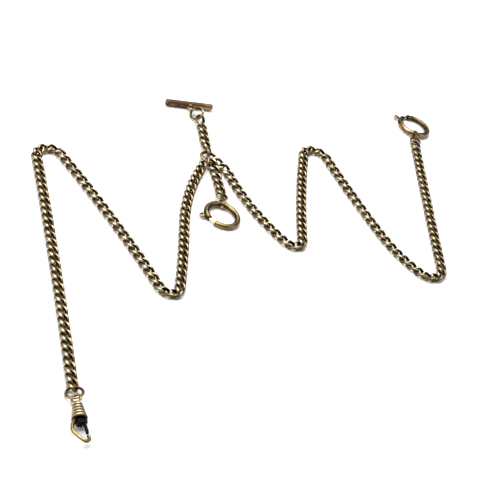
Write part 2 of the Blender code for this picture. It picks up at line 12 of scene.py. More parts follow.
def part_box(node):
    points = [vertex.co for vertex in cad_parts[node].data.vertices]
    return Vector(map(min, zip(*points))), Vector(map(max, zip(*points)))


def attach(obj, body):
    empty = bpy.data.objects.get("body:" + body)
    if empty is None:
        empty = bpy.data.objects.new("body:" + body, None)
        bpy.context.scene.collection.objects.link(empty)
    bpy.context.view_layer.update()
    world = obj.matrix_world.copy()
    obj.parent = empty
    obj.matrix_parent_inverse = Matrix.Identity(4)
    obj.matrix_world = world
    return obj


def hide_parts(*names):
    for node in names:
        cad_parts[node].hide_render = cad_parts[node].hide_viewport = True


bl_info = {
    "name": "Pocket Watch Chain",
    "version": (1, 0, 0),
    "blender": (4, 5, 0),
    "location": "3D View > Sidebar > Watch Chain",
    "description": "Builds a curb chain with its T bar, bolt rings and snap hook",
    "category": "Add Mesh",
}

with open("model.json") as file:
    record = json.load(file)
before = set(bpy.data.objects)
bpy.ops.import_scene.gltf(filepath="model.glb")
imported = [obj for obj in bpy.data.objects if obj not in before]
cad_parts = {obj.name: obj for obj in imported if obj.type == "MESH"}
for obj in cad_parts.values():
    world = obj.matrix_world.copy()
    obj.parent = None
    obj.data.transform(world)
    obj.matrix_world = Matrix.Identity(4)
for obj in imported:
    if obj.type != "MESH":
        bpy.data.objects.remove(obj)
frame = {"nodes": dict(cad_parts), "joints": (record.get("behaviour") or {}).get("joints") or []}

MM = 0.001
UP = Vector((0, 0, 1))
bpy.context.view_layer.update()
JOINTS = {joint["child"]: joint for joint in frame["joints"]}
# Name of the point attribute that sets each point's level: low gives patina and painted shade, high gives
# polish from rubbing and painted highlight.
TRACE = "wear_and_painted_light"

# Each stretch of chain is (kind, links, headings in degrees spread evenly along it)
LAYOUT = {
    "t": (("lead", 2, (80,)), ("run", 3, (80, 82)), ("lead", 1, (92,))),
    "fob": (("lead", 1, (-84,)), ("lead", 4, (-94, -98))),
    "left": (
        ("lead", 2, (-130, -124)),
        ("run", 20, (-124, -107, -111)),
        ("fold", 2, (-152, -208)),
        ("run", 20, (-257, -250)),
        ("fold", 3, (-202, -129)),
        ("run", 32, (-96, -98)),
    ),
    "right": (
        ("lead", 2, (-44, -60)),
        ("run", 11, (-84, -72, -60)),
        ("fold", 2, (-18, 36)),
        ("run", 16, (73, 67)),
        ("fold", 3, (33, -48)),
        ("run", 19, (-82, -80, -77, -54)),
        ("fold", 3, (-12, 52)),
        ("run", 22, (76, 75)),
    ),
}
LAST_BODY = {
    "t": "t_bar_jump_ring",
    "fob": "fob_ring_jump_ring",
    "left": "hook_jump_ring",
    "right": "watch_ring_jump_ring",
}
# Degrees that some links are rolled about the chain's own line
LINK_ROLLS = {"link_1": 36, "link_2": 16, "t_link_3": 10}
# Degrees that a link may rock at random about the place it has in the chain
LINK_LOOSENESS = 2.5


# Sizes and colours


def length(name, description, default):
    return FloatProperty(
        name=name, description=description, default=default * MM, unit="LENGTH", precision=5
    )


def angle(name, description, degrees):
    return FloatProperty(
        name=name, description=description, default=math.radians(degrees), subtype="ANGLE"
    )


def colour(name, description, default):
    return FloatVectorProperty(
        name=name, description=description, default=default, subtype="COLOR", min=0, max=1
    )


class ChainSizes(bpy.types.PropertyGroup):
    """Sizes of the curb links and the plain rings."""

    pitch: length("Pitch", "Distance from one link to the next", 3.9)
    wire: length("Wire", "Thickness of the links' wire", 1.22)
    width: length("Width", "Width of a link over its wire", 4.4)
    play: length("Play", "Slack between two links", 0.15)
    filed: length("Filed height", "Height of the flats filed on the links, from the middle", 1.5)
    twist: angle("Twist", "Twist of a link from its middle to each end", -47)
    squareness: FloatProperty(name="Squareness", description="2 is an oval, more is fuller", default=2.4)
    points: IntProperty(name="Points", description="Points round a link", default=20, min=8)
    sides: IntProperty(name="Sides", description="Sides of a link's wire", default=8, min=4)
    junction_wire: length("Junction wire", "Thickness of the junction ring", 1.25)
    junction_radius: length("Junction radius", "Radius of the junction ring at its wire", 3.1)
    jump_wire: length("Jump ring wire", "Thickness of the jump rings", 1.0)
    jump_radius: length("Jump ring radius", "Radius of the bolt rings' jump rings", 2.1)
    bar_ring_radius: length("T bar ring radius", "Radius of the T bar's jump ring", 2.7)
    hook_ring_radius: length("Hook ring radius", "Radius of the snap hook's jump ring", 2.95)


class FittingSizes(bpy.types.PropertyGroup):
    """Sizes of the T bar, the bolt rings and the snap hook."""

    eye_radius: length("Bar eye radius", "Radius of the T bar's eye", 1.8)
    eye_wire: length("Bar eye wire", "Thickness of the T bar's eye", 0.85)
    eye_tilt: angle("Bar eye tilt", "Droop of the T bar's eye", -16)
    ring_radius: length("Bolt ring radius", "Radius at the middle of the tube", 6.4)
    tube: length("Tube radius", "Outer radius of the bolt ring's tube", 1.1)
    bore: length("Bore radius", "Inner radius of the bolt ring's tube", 0.8)
    bolt: length("Bolt radius", "Radius of the sprung bolt", 0.5)
    strap: length("Strap", "Thickness of the tail strap", 0.4)
    strap_width: length("Strap width", "Width of the tail strap", 1.3)
    strap_nose: length("Strap nose", "Radius of the strap's eye", 1.1)
    strap_reach: length("Strap reach", "From the tube's middle to the strap's eye", 3.2)
    sleeve_length: length("Sleeve length", "Length of the snap hook's sleeve", 7.2)
    sleeve_top: length("Sleeve top", "Radius of the sleeve at its narrow end", 1.6)
    sleeve_end: length("Sleeve end", "Radius of the sleeve at its wide end", 2.7)
    hook_eye_radius: length("Hook eye radius", "Radius of the swivel eye", 1.6)
    hook_eye_wire: length("Hook eye wire", "Thickness of the swivel eye", 0.9)
    hook_wire: length("Hook wire", "Thickness of the hook", 1.2)


class ChainColours(bpy.types.PropertyGroup):
    """Colours of the plating."""

    # Recess is the dark end of the mixes: patina and painted shade in the hollows and between the links.
    recess: colour("Recess", "Patina and painted shade in the hollows", (0.005, 0.002, 0.001))
    bronze: colour("Bronze", "Body of the antique plate", (0.135, 0.086, 0.032))
    # The next colour is the light end of the mixes: polish from rubbing and painted highlight on the high
    # sides.
    rubbed: colour("Rubbed", "Plate bright from rubbing, and painted highlight, on the high sides", (0.78, 0.64, 0.39))
    ring_bronze: colour("Ring bronze", "Body colour of the bolt rings", (0.31, 0.215, 0.085))
    # Olive is the dark end of the rings' mix: darker streaks, and painted shade and painted reflection
    # inside the rings and at their open ends.
    olive: colour("Olive", "Darker streaks on the rings", (0.05, 0.03, 0.01))
    sleeve: colour("Sleeve", "Tan of the ribbed sleeve", (0.25, 0.175, 0.1))
    bar: colour("Bar", "Brown of the T bar", (0.15, 0.085, 0.045))
    ochre: colour("Ochre", "Worn patches of the T bar", (0.33, 0.2, 0.08))
    black: colour("Black", "Near-black matte of the block and the gate", (0.0018, 0.0018, 0.002))
    steel: colour("Steel", "Bright spring steel", (0.5, 0.5, 0.5))
    floor: colour("Floor", "The ground", (0.93, 0.935, 0.94))


# Node sums


class Socket:
    """One output of a node, on which sums are written as plain expressions."""

    def __init__(self, tree, socket):
        self.tree = tree
        self.socket = socket

    def math(self, operation, *others):
        inputs = dict(enumerate((self, *others)))
        return self.tree.node("ShaderNodeMath", {"operation": operation}, inputs)

    def swapped(self, operation, other):
        return self.tree.node("ShaderNodeMath", {"operation": operation}, {0: other, 1: self})

    def __add__(self, other):
        return self.math("ADD", other)

    __radd__ = __add__

    def __mul__(self, other):
        return self.math("MULTIPLY", other)

    __rmul__ = __mul__

    def __sub__(self, other):
        return self.math("SUBTRACT", other)

    def __rsub__(self, other):
        return self.swapped("SUBTRACT", other)

    def __truediv__(self, other):
        return self.math("DIVIDE", other)

    def __rtruediv__(self, other):
        return self.swapped("DIVIDE", other)

    def __pow__(self, other):
        return self.math("POWER", other)

    def clamped(self):
        return self.math("MAXIMUM", 0.0).math("MINIMUM", 1.0)


class Tree:
    """A node tree with one way to add a node."""

    def __init__(self, tree):
        self.tree = tree

    def node(self, kind, settings=None, inputs=None, output=0):
        made = self.tree.nodes.new(kind)
        for name, value in (settings or {}).items():
            setattr(made, name, value)
        for key, value in (inputs or {}).items():
            if isinstance(value, Socket):
                self.tree.links.new(value.socket, made.inputs[key])
            else:
                made.inputs[key].default_value = value
        return Socket(self, made.outputs[output])

    def mix(self, factor, first, second):
        """Mix of two colours."""
        colours = [(*c, 1.0) if isinstance(c, tuple) else c for c in (first, second)]
        inputs = {0: factor, 6: colours[0], 7: colours[1]}
        return self.node("ShaderNodeMix", {"data_type": "RGBA"}, inputs, output=2)

    def noise(self, coordinates, scale, detail=3.0, stretch=(1, 1, 1)):
        scaled = self.node("ShaderNodeMapping", None, {"Vector": coordinates, "Scale": stretch})
        inputs = {"Vector": scaled, "Scale": scale, "Detail": detail}
        return self.node("ShaderNodeTexNoise", None, inputs)

    def band(self, value, low, high):
        """Smooth step from 0 at low to 1 at high."""
        settings = {"interpolation_type": "SMOOTHSTEP"}
        return self.node("ShaderNodeMapRange", settings, {0: value, 1: low, 2: high})


# Finishes

FINISHES = {}


def finish(name, roughness, metallic, paint):
    """Principled material; paint gives its colour, its roughness and its height for the bump."""
    if name in FINISHES:
        return FINISHES[name]
    material = bpy.data.materials.new(name)
    material.use_nodes = True
    tree = Tree(material.node_tree)
    shader = material.node_tree.nodes["Principled BSDF"]
    shader.inputs["Metallic"].default_value = metallic
    shader.inputs["Specular IOR Level"].default_value = 0.5 if metallic else 0.15
    coordinates = tree.node("ShaderNodeTexCoord", None, None, output=3)
    # Each point's level: patina and painted shade when low, polish from rubbing and painted highlight
    # when high.
    wear_and_light = tree.node("ShaderNodeAttribute", {"attribute_name": TRACE}, None, output=2)
    base, rough, height, depth = paint(tree, coordinates, wear_and_light)
    links = material.node_tree.links
    links.new(base.socket, shader.inputs["Base Color"])
    links.new((rough * roughness).clamped().socket, shader.inputs["Roughness"])
    bump = tree.node("ShaderNodeBump", None, {"Height": height, "Distance": depth, "Strength": 0.35})
    links.new(bump.socket, shader.inputs["Normal"])
    FINISHES[name] = material
    return material


def antique(recess, body, rubbed, streaks):
    """Plate with patina and painted shade in the hollows, and bright from rubbing and painted highlight
    on the high sides.
    """

    def paint(tree, coordinates, wear_and_light):
        cloud = tree.noise(coordinates, 420, 4.0)
        fine = tree.noise(coordinates, 2600, 3.0)
        along = tree.noise(coordinates, 700, 3.0, streaks)
        # Low level gives the recess colour, patina and painted shade; bright gives the light colour,
        # polish from rubbing and painted highlight.
        level = wear_and_light + (cloud - 0.5) * 0.5 + (along - 0.5) * 0.35
        plated = tree.mix(tree.band(level, 0.24, 0.68), recess, body)
        bright = tree.band(level + (fine - 0.5) * 0.2, 0.6, 1.0)
        rough = 1.25 - bright * 0.45 + (fine - 0.5) * 0.3
        return tree.mix(bright, plated, rubbed), rough, fine * 0.5 + cloud, 0.03 * MM

    return paint


def hammered(recess, body, ochre):
    """Brown bar with ochre patches where its plate is gone, and painted shade on its underside and in its
    dents.
    """

    def paint(tree, coordinates, wear_and_light):
        patch = tree.noise(coordinates, 180, 3.0, (0.5, 1, 1))
        fine = tree.noise(coordinates, 1900, 4.0)
        side = tree.node("ShaderNodeSeparateXYZ", None, {0: coordinates})
        low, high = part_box("t_bar")
        end = tree.band(side, low.x + (high.x - low.x) * 0.7, high.x)
        level = tree.band(patch + end * 0.3 + (fine - 0.5) * 0.3, 0.52, 0.72)
        # Painted shade: the recess colour on the bar's underside and in its dents, following the level
        # set on its points.
        shade = tree.mix(tree.band(wear_and_light + (fine - 0.5) * 0.3, 0.1, 0.7), recess, body)
        rough = 1.2 - level * 0.3 + (fine - 0.5) * 0.4
        return tree.mix(level, shade, ochre), rough, fine + patch, 0.06 * MM

    return paint


def plain(base, speck, scale):
    """Even finish with a slight speckle."""

    def paint(tree, coordinates, wear_and_light):
        grain = tree.noise(coordinates, scale, 4.0)
        return tree.mix(grain, base, speck), 0.8 + grain * 0.5, grain, 0.02 * MM

    return paint


def chain_finish():
    c = bpy.context.scene.watch_chain_colours
    paint = antique(tuple(c.recess), tuple(c.bronze), tuple(c.rubbed), (1, 1, 1))
    return finish("antique_chain", 0.46, 1.0, paint)


def ring_finish():
    c = bpy.context.scene.watch_chain_colours
    # Olive is the dark end here: darker streaks, and painted shade and painted reflection inside the
    # rings and at their open ends.
    paint = antique(tuple(c.olive), tuple(c.ring_bronze), tuple(c.rubbed), (0.3, 0.3, 2.5))
    return finish("polished_ring", 0.27, 1.0, paint)


def sleeve_finish():
    c = bpy.context.scene.watch_chain_colours
    paint = antique(tuple(c.recess), tuple(c.sleeve), tuple(c.rubbed), (1, 0.2, 1))
    return finish("ribbed_sleeve", 0.46, 1.0, paint)


def bar_finish():
    c = bpy.context.scene.watch_chain_colours
    return finish("hammered_bar", 0.42, 1.0, hammered(tuple(c.recess), tuple(c.bar), tuple(c.ochre)))


def black_finish():
    c = bpy.context.scene.watch_chain_colours
    speck = tuple(3 * value for value in c.black)
    # Near-black matte colour of the block and the gate.
    return finish("near_black_matte", 0.75, 0.0, plain(tuple(c.black), speck, 900))


def steel_finish():
    c = bpy.context.scene.watch_chain_colours
    speck = tuple(0.6 * value for value in c.steel)
    return finish("spring_steel", 0.3, 1.0, plain(tuple(c.steel), speck, 1500))


# Shapes


def heading(degrees):
    """Direction on the ground, turned from +X."""
    turn = math.radians(degrees)
    return Vector((math.cos(turn), math.sin(turn), 0.0))


def axes(origin, x, z):
    """Matrix from an origin, an X direction and a rough Z direction."""
    x = Vector(x).normalized()
    y = Vector(z).cross(x).normalized()
    turn = Matrix((x, y, x.cross(y))).transposed().to_4x4()
    return Matrix.Translation(origin) @ turn


def arc(radius, start, end, count):
    """Points along an arc about Z, in degrees."""
    turns = [math.radians(start + (end - start) * i / (count - 1)) for i in range(count)]
    return [Vector((radius * math.cos(t), radius * math.sin(t), 0)) for t in turns]


def smooth_line(points, between=8):
    """Catmull-Rom curve through points."""
    line = []
    padded = [2 * points[0] - points[1], *points, 2 * points[-1] - points[-2]]
    for a, b, c, d in zip(padded, padded[1:], padded[2:], padded[3:]):
        for i in range(between):
            t = i / between
            cubic = 2 * b + (c - a) * t + (2 * a - 5 * b + 4 * c - d) * t * t
            line.append((cubic + (3 * b - a - 3 * c + d) * t**3) / 2)
    return [*line, points[-1]]


def circle(radius, sides, squash=1.0):
    """Round profile, whose first coordinate points away from the inside of a bend."""
    return [(p.x, p.y * squash) for p in arc(radius, 0, 360 - 360 / sides, sides)]


def even_wear(side, lift, share):
    return 0.75


# Lowest level for the cutters, whose walls inside the tube then take the recess colour as painted shade.
def no_wear(side, lift, share):
    return 0.0


def bend_wear(side, lift, share):
    """Light on the outside and the top of a bend, from rubbing and painted highlight, with painted shade
    inside it.
    """
    return 0.5 + 0.22 * side + 0.16 * abs(lift)


def ring_wear(side, lift, share):
    """Light along the top of a tube, from rubbing and painted highlight, with painted shade at the lips
    of its open ends.
    """
    lip = min(share, 1 - share) * 40
    return (0.3 + 0.12 * side + 0.36 * abs(lift)) * min(1.0, lip)


def bolt_wear(side, lift, share):
    """Painted highlight where the bolt shows in the mouth, painted shade inside the tube."""
    return 0.9 if share < 0.5 else 0.0


def sweep(shape, points, profile, plane, closed=False, rounded=0.0, wear_and_light=even_wear, place=None):
    """Adds a profile drawn along a line that lies in a plane; open ends are capped, rounded if asked."""
    stations = [(point, 1.0) for point in points]
    if rounded:
        first, last = (points[0] - points[1]).normalized(), (points[-1] - points[-2]).normalized()
        steps = [(math.sin(a), math.cos(a)) for a in (math.radians(d) for d in (30, 55, 78))]
        start = [(points[0] + first * rounded * out, size) for out, size in reversed(steps)]
        stations = start + stations + [(points[-1] + last * rounded * out, size) for out, size in steps]
    layer = shape.verts.layers.float.get(TRACE) or shape.verts.layers.float.new(TRACE)
    widest = max(abs(value) for pair in profile for value in pair)
    rows = []
    count = len(stations)
    for i, (point, size) in enumerate(stations):
        before = stations[(i - 1) % count if closed else max(i - 1, 0)][0]
        after = stations[(i + 1) % count if closed else min(i + 1, count - 1)][0]
        tangent = (after - before).normalized()
        side = tangent.cross(plane).normalized()
        lift = side.cross(tangent)
        row = []
        for a, b in profile:
            spot = point + (side * a + lift * b) * size
            vertex = shape.verts.new(place @ spot if place else spot)
            vertex[layer] = wear_and_light(a / widest, b / widest, i / count)
            row.append(vertex)
        rows.append(row)
    turns = range(count if closed else count - 1)
    sides = len(profile)
    for i in turns:
        low, high = rows[i], rows[(i + 1) % count]
        for k in range(sides):
            m = (k + 1) % sides
            shape.faces.new((low[k], low[m], high[m], high[k]))
    if not closed:
        shape.faces.new(rows[0][::-1])
        shape.faces.new(rows[-1])


def lathe(shape, profile, steps=48, place=None, wear_and_light=None):
    """Adds a closed profile of (radius, height) points turned about Z."""
    layer = shape.verts.layers.float.get(TRACE) or shape.verts.layers.float.new(TRACE)
    rows = []
    for i in range(steps):
        turn = 2 * math.pi * i / steps
        row = []
        for k, (radius, height) in enumerate(profile):
            spot = Vector((radius * math.cos(turn), radius * math.sin(turn), height))
            vertex = shape.verts.new(place @ spot if place else spot)
            vertex[layer] = wear_and_light(k) if wear_and_light else 1.0
            row.append(vertex)
        rows.append(row)
    count = len(profile)
    for i in range(steps):
        low, high = rows[i], rows[(i + 1) % steps]
        for k in range(count):
            m = (k + 1) % count
            shape.faces.new((low[k], low[m], high[m], high[k]))


def rod_profile(radius, low, high, bevel):
    """Half outline of a rod along Z with rounded edges, closed on the axis by a tiny hole."""
    core = radius * 0.02
    corner = 0.3 * bevel
    top = [(core, high), (radius - bevel, high), (radius - corner, high - corner), (radius, high - bevel)]
    foot = [(radius, low + bevel), (radius - corner, low + corner), (radius - bevel, low), (core, low)]
    return top + foot


def mesh_object(name, shape):
    """Object with a shape's mesh, its faces turned outward."""
    bmesh.ops.recalc_face_normals(shape, faces=shape.faces)
    mesh = bpy.data.meshes.new(name)
    shape.to_mesh(mesh)
    shape.free()
    made = bpy.data.objects.new(name, mesh)
    bpy.context.scene.collection.objects.link(made)
    return made


def piece(name, shape, material, body, nodes, sharp=40):
    """Turns a shape into a finished piece that rides on a body and stands for its nodes."""
    settle(mesh_object(name, shape), material, body, nodes, sharp)


def settle(made, material, body, nodes, sharp=40):
    """Gives a finished piece its metal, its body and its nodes."""
    made.data.materials.clear()
    made.data.materials.append(material)
    made.data.shade_smooth()
    made.data.set_sharp_from_angle(angle=math.radians(sharp))
    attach(made, body)
    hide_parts(*nodes)


def cut(made, cutter_shape, operation="DIFFERENCE"):
    """Applies a Boolean with a shape to a piece."""
    cutter = mesh_object("cutter", cutter_shape)
    modifier = made.modifiers.new("cut", "BOOLEAN")
    modifier.operation = operation
    modifier.solver = "EXACT"
    modifier.object = cutter
    bpy.context.view_layer.update()
    evaluated = made.evaluated_get(bpy.context.evaluated_depsgraph_get())
    result = bpy.data.meshes.new_from_object(evaluated)
    made.modifiers.clear()
    made.data = result
    bpy.data.objects.remove(cutter, do_unlink=True)


# Curb links


def walk(start, layout, pitch):
    """Places where the links meet, one pitch apart, along a layout."""
    places = [Vector(start)]
    for _, links, headings in layout:
        for i in range(links):
            share = i / max(links - 1, 1) * (len(headings) - 1)
            before = min(int(share), max(len(headings) - 2, 0))
            after = min(before + 1, len(headings) - 1)
            turn = headings[before] + (headings[after] - headings[before]) * (share - before)
            places.append(places[-1] + heading(turn) * pitch)
    return places


def branch_bodies(name, pitch):
    """The links of each body of a branch, as (start, end, roll)."""
    layout = LAYOUT[name]
    second = Vector(JOINTS[name + "_link_2"]["pos_m"])
    start = second - heading(layout[0][2][0]) * pitch
    places = walk(start, layout, pitch)
    for place in places[2:]:
        place.z = JOINTS[name + "_link_3"]["pos_m"][2]
    places[1].z = second.z
    places[0].z = JOINTS[name + "_link_1"]["pos_m"][2]
    places[-1].z = JOINTS[LAST_BODY[name]]["pos_m"][2]
    bodies = {}
    index = single = run = 0
    for kind, links, _ in layout:
        if kind == "run":
            run += 1
            labels = [name + "_run_" + str(run)] * links
        else:
            labels = [name + "_link_" + str(single + i + 1) for i in range(links)]
            single += links
        for label in labels:
            begin, end = places[index], places[index + 1]
            if label not in bodies:
                bodies[label] = []
                if index and (begin - Vector(JOINTS[label]["pos_m"])).length > 0.1 * MM:
                    raise RuntimeError(label + " doesn't start on its joint")
            roll = LINK_ROLLS.get(label, LINK_ROLLS.get(label.split("_", 1)[1], 0))
            bodies[label].append((begin, end, roll))
            index += 1
    return bodies


LINK_INPUTS = {
    "Half Length": "NodeSocketFloat",
    "Half Width": "NodeSocketFloat",
    "Wire Radius": "NodeSocketFloat",
    "Twist": "NodeSocketFloat",
    "Squareness": "NodeSocketFloat",
    "Filed Height": "NodeSocketFloat",
    "Points": "NodeSocketInt",
    "Sides": "NodeSocketInt",
    "Looseness": "NodeSocketFloat",
    "Seed": "NodeSocketInt",
    "Finish": "NodeSocketMaterial",
}


def link_tree():
    """Node tree that bends a circle into a twisted link and sets one on every point of a route."""
    group = bpy.data.node_groups.new("curb_links", "GeometryNodeTree")
    group.interface.new_socket("Route", in_out="INPUT", socket_type="NodeSocketGeometry")
    keys = {}
    for name, kind in LINK_INPUTS.items():
        socket = group.interface.new_socket(name, in_out="INPUT", socket_type=kind)
        keys[name] = socket.identifier
    group.interface.new_socket("Links", in_out="OUTPUT", socket_type="NodeSocketGeometry")
    tree = Tree(group)
    given = group.nodes.new("NodeGroupInput")

    def value(name):
        return Socket(tree, given.outputs[name])

    half_length, half_width, wire = value("Half Length"), value("Half Width"), value("Wire Radius")
    round_curve = "GeometryNodeCurvePrimitiveCircle"
    loop = tree.node(round_curve, None, {"Resolution": value("Points"), "Radius": 1.0})
    spot = tree.node("GeometryNodeInputPosition")
    apart = tree.node("ShaderNodeSeparateXYZ", None, {0: spot})
    along, across = apart, Socket(tree, apart.socket.node.outputs[1])
    power = 2.0 / value("Squareness")
    x = along.math("SIGN") * along.math("ABSOLUTE") ** power * half_length
    y = across.math("SIGN") * across.math("ABSOLUTE") ** power * half_width
    twist = value("Twist") * x / half_length
    wide, tall = y * twist.math("COSINE"), y * twist.math("SINE")
    bent = tree.node("ShaderNodeCombineXYZ", None, {0: x, 1: wide, 2: tall})
    centreline = tree.node("GeometryNodeSetPosition", None, {"Geometry": loop, "Position": bent})
    round_wire = tree.node(round_curve, None, {"Resolution": value("Sides"), "Radius": wire})
    link = tree.node("GeometryNodeCurveToMesh", None, {"Curve": centreline, "Profile Curve": round_wire})

    spot = tree.node("GeometryNodeInputPosition")
    apart = tree.node("ShaderNodeSeparateXYZ", None, {0: spot})
    x, y, z = (Socket(tree, out) for out in apart.socket.node.outputs)
    filed = value("Filed Height")
    flat = z.math("MINIMUM", filed).math("MAXIMUM", filed * -1.0)
    cut_flat = tree.node("ShaderNodeCombineXYZ", None, {0: x, 1: y, 2: flat})
    link = tree.node("GeometryNodeSetPosition", None, {"Geometry": link, "Position": cut_flat})
    # Level of each point: low where the wire faces the middle of the link and the next links, patina and
    # painted shade; high on the outside and on the filed flats, polish from rubbing and painted
    # highlight.
    out = (x * x) / (half_length * half_length) + (y * y + z * z) / (half_width * half_width)
    rubbed = tree.band(out, 0.62, 1.35)
    top = tree.band(z.math("ABSOLUTE"), filed * 0.3, filed)
    wear_and_light = rubbed * 0.66 + top * 0.32
    link = tree.node(
        "GeometryNodeStoreNamedAttribute", {"data_type": "FLOAT", "domain": "POINT"},
        {"Geometry": link, "Name": TRACE, "Value": wear_and_light},
    )
    link = tree.node("GeometryNodeSetShadeSmooth", None, {"Geometry": link})

    vector = {"data_type": "FLOAT_VECTOR"}
    turn = tree.node("GeometryNodeInputNamedAttribute", vector, {"Name": "turn"})
    inputs = {"Points": value("Route"), "Instance": link, "Rotation": turn}
    links = tree.node("GeometryNodeInstanceOnPoints", None, inputs)
    loose = value("Looseness")
    wobble = tree.node(
        "FunctionNodeRandomValue", {"data_type": "FLOAT"},
        {2: loose * -1.0, 3: loose, "Seed": value("Seed")}, output=1,
    )
    rocked = tree.node("ShaderNodeCombineXYZ", None, {0: wobble, 1: 0.0, 2: wobble * 0.3})
    links = tree.node("GeometryNodeRotateInstances", None, {"Instances": links, "Rotation": rocked})
    solid = tree.node("GeometryNodeRealizeInstances", None, {"Geometry": links})
    ended = tree.node("GeometryNodeSetMaterial", None, {"Geometry": solid, "Material": value("Finish")})
    leaving = group.nodes.new("NodeGroupOutput")
    group.links.new(ended.socket, leaving.inputs[0])
    return group, keys


def linked_piece(label, links, group, keys, values, seed):
    """One mesh with all the links of a body."""
    mesh = bpy.data.meshes.new(label)
    mesh.from_pydata([(begin + end) / 2 for begin, end, _ in links], [], [])
    turns = mesh.attributes.new("turn", "FLOAT_VECTOR", "POINT")
    for item, (begin, end, roll) in zip(turns.data, links):
        place = axes((0, 0, 0), end - begin, UP) @ Matrix.Rotation(math.radians(roll), 4, "X")
        item.vector = place.to_euler()
    route = bpy.data.objects.new(label + "_route", mesh)
    bpy.context.scene.collection.objects.link(route)
    modifier = route.modifiers.new("links", "NODES")
    modifier.node_group = group
    for name, value in {**values, "Seed": seed}.items():
        modifier[keys[name]] = value
    bpy.context.view_layer.update()
    evaluated = route.evaluated_get(bpy.context.evaluated_depsgraph_get())
    solid = bpy.data.meshes.new_from_object(evaluated)
    bpy.data.objects.remove(route, do_unlink=True)
    made = bpy.data.objects.new(label + "_links", solid)
    bpy.context.scene.collection.objects.link(made)
    settle(made, values["Finish"], label, [label], 70)


class WATCHCHAIN_OT_links(bpy.types.Operator):
    """Sets a curb link on every place of the four branches"""

    bl_idname = "watchchain.links"
    bl_label = "Curb links"

    def execute(self, context):
        sizes = context.scene.watch_chain_sizes
        group, keys = link_tree()
        values = {
            "Half Length": (sizes.pitch + sizes.wire + sizes.play) / 2,
            "Half Width": (sizes.width - sizes.wire) / 2,
            "Wire Radius": sizes.wire / 2,
            "Twist": sizes.twist,
            "Squareness": sizes.squareness,
            "Filed Height": sizes.filed,
            "Points": sizes.points,
            "Sides": sizes.sides,
            "Looseness": math.radians(LINK_LOOSENESS),
            "Finish": chain_finish(),
        }
        seed = 0
        for name in LAYOUT:
            for label, links in branch_bodies(name, sizes.pitch).items():
                seed += 1
                linked_piece(label, links, group, keys, values, seed)
        return {"FINISHED"}


# Rings


def jump_frame(ring_body, next_body, radius):
    """Place of a jump ring, X towards what hangs on it, from the hinges at its two sides."""
    near = Vector(JOINTS[ring_body]["pos_m"])
    far = Vector(JOINTS[next_body]["pos_m"])
    toward = (far - near).normalized()
    across = -Vector(JOINTS[next_body]["axis"])
    return axes(far - toward * radius, toward, toward.cross(across))


class WATCHCHAIN_OT_rings(bpy.types.Operator):
    """Makes the junction ring and the four jump rings"""

    bl_idname = "watchchain.rings"
    bl_label = "Junction and jump rings"

    def execute(self, context):
        sizes = context.scene.watch_chain_sizes
        shape = bmesh.new()
        low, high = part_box("junction_ring")
        place = Matrix.Translation((low + high) / 2)
        profile = circle(sizes.junction_wire / 2, 16)
        sweep(shape, arc(sizes.junction_radius, 205, 562, 72), profile, UP, wear_and_light=bend_wear, place=place)
        piece("junction_ring_wire", shape, chain_finish(), "junction", ["junction_ring"])
        # Each jump ring, what hangs on it, its radius, its seam and its roll in degrees
        jump_rings = (
            ("t_bar_jump_ring", "t_bar", sizes.bar_ring_radius, 100, -104),
            ("fob_ring_jump_ring", "fob_ring", sizes.jump_radius, 80, -30),
            ("watch_ring_jump_ring", "watch_ring", sizes.jump_radius, 80, -30),
            ("hook_jump_ring", "hook_eye", sizes.hook_ring_radius, 62, 0),
        )
        for ring, hung, radius, seam, roll in jump_rings:
            shape = bmesh.new()
            place = jump_frame(ring, hung, radius) @ Matrix.Rotation(math.radians(roll), 4, "X")
            profile = circle(sizes.jump_wire / 2, 14)
            sweep(shape, arc(radius, seam + 3, seam + 357, 60), profile, UP, wear_and_light=bend_wear, place=place)
            piece(ring + "_wire", shape, chain_finish(), ring, [ring])
        return {"FINISHED"}


# T bar


